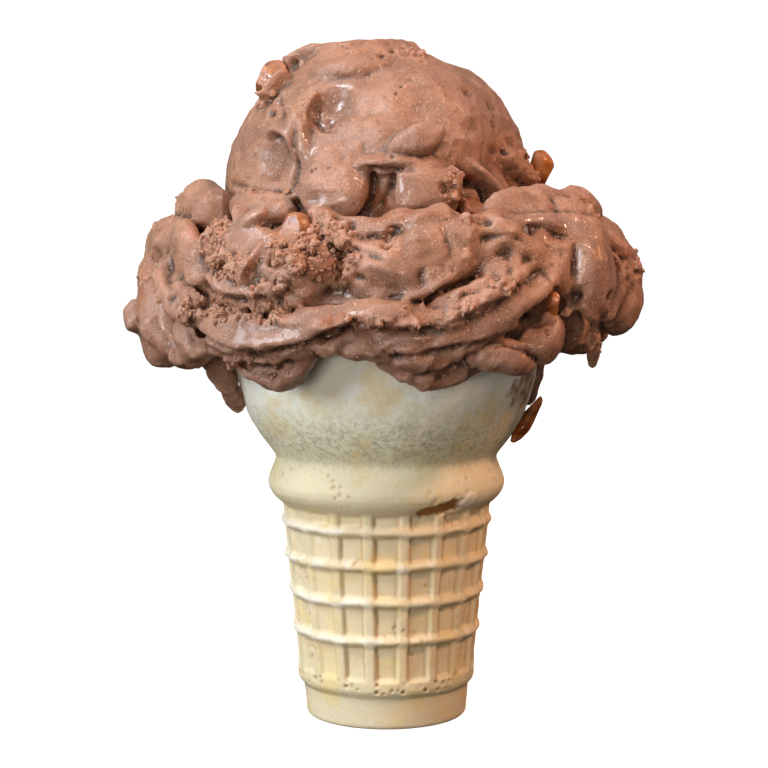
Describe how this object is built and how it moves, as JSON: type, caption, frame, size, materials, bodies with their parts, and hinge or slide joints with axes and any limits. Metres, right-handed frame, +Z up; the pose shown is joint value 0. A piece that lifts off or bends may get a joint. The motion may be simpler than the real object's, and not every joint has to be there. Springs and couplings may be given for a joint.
{
  "type": "ice cream cone",
  "caption": "Scoops of chocolate ice cream with toffee pieces, heaped over the rim of a flat-bottomed wafer cup with a ribbed lattice body.",
  "frame": {"origin": "centre of the foot, on the surface that the cup stands on", "axes": "+Z up along the cup's axis, -Y the side with the hanging lip (front), +X to the right of someone facing the front"},
  "size_m": [0.1005, 0.0945, 0.135],
  "materials": {
    "wafer": "matt, crisp baked wafer",
    "chocolate_ice_cream": "soft and moist, a little shiny",
    "toffee": "hard and glossy"
  },
  "bodies": {
    "root": {"wafer_cup": "wafer", "scoop_lower": "chocolate_ice_cream", "scoop_upper": "chocolate_ice_cream", "toffee_crown": "toffee", "toffee_right": "toffee", "toffee_drip": "toffee", "toffee_crevice": "toffee", "toffee_front": "toffee", "toffee_back_low": "toffee", "toffee_back_high": "toffee"}
  },
  "joints": []
}
